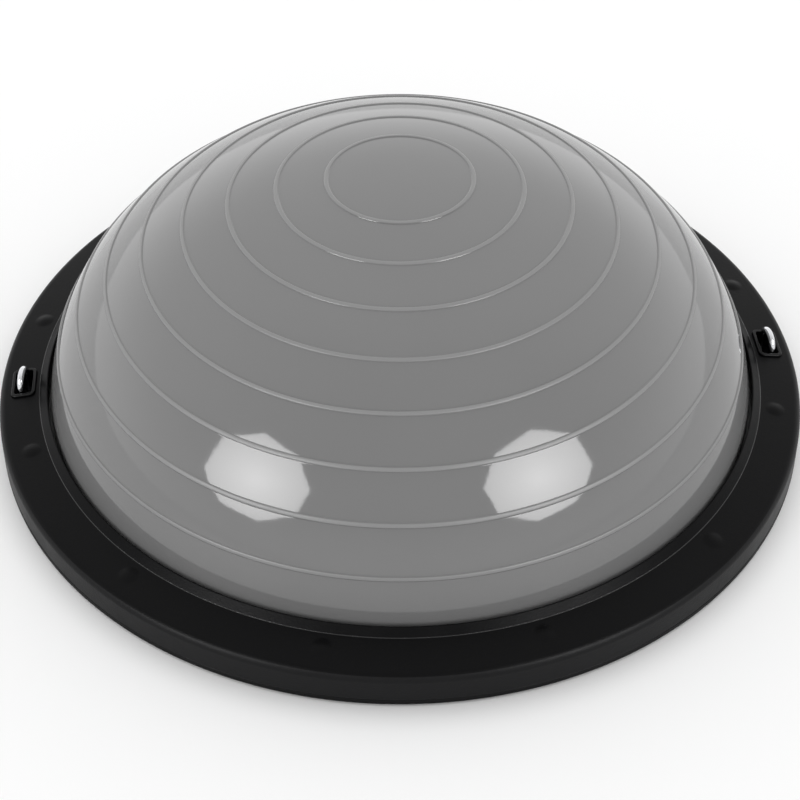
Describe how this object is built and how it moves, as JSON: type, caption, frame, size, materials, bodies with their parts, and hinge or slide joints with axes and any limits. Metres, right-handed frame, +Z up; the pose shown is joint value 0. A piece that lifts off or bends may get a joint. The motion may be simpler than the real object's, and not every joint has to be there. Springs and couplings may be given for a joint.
{
  "type": "balance dome trainer",
  "caption": "Half-dome balance trainer: inflated ridged PVC dome clamped in a moulded rim on a flat base plate, with steel band loops at the sides.",
  "frame": {"origin": "centre of the round footprint, level with the bottom of the rubber pads", "axes": "+Z up along the dome's axis, +X towards the right-hand band loop, -Y towards the front"},
  "size_m": [0.5799, 0.58, 0.198],
  "materials": {
    "dome_pvc": "soft PVC, glossy mid grey",
    "valve_pvc": "soft PVC, satin grey",
    "valve_plug_rubber": "moulded rubber, matte black",
    "black_moulding": "polypropylene, fine matte grain, black",
    "base_moulding": "polypropylene, fine matte grain, black",
    "socket_moulding": "smooth moulded nylon, black",
    "chromed_steel": "polished chrome plate",
    "zinc_steel": "bright zinc plate",
    "pad_rubber": "matte black rubber"
  },
  "bodies": {
    "trainer": {"dome_bladder": "dome_pvc", "valve_seat": "valve_pvc", "rim_ring": "black_moulding", "base_plate": "base_moulding", "rim_screws": "zinc_steel", "foot_pad_1": "pad_rubber", "foot_pad_2": "pad_rubber", "foot_pad_3": "pad_rubber", "foot_pad_4": "pad_rubber", "foot_pad_5": "pad_rubber", "foot_pad_6": "pad_rubber", "anchor_socket_right": "socket_moulding", "anchor_loop_right": "chromed_steel", "anchor_backing_right": "zinc_steel", "anchor_washers_right": "zinc_steel", "anchor_nuts_right": "zinc_steel", "anchor_socket_left": "socket_moulding", "anchor_loop_left": "chromed_steel", "anchor_backing_left": "zinc_steel", "anchor_washers_left": "zinc_steel", "anchor_nuts_left": "zinc_steel"},
    "plug": {"valve_plug": "valve_plug_rubber"}
  },
  "joints": [
    {"name": "plug_pull", "type": "slide", "parent": "trainer", "child": "plug", "axis": [0, 0, -1], "range_m": [0, 0.012]}
  ]
}
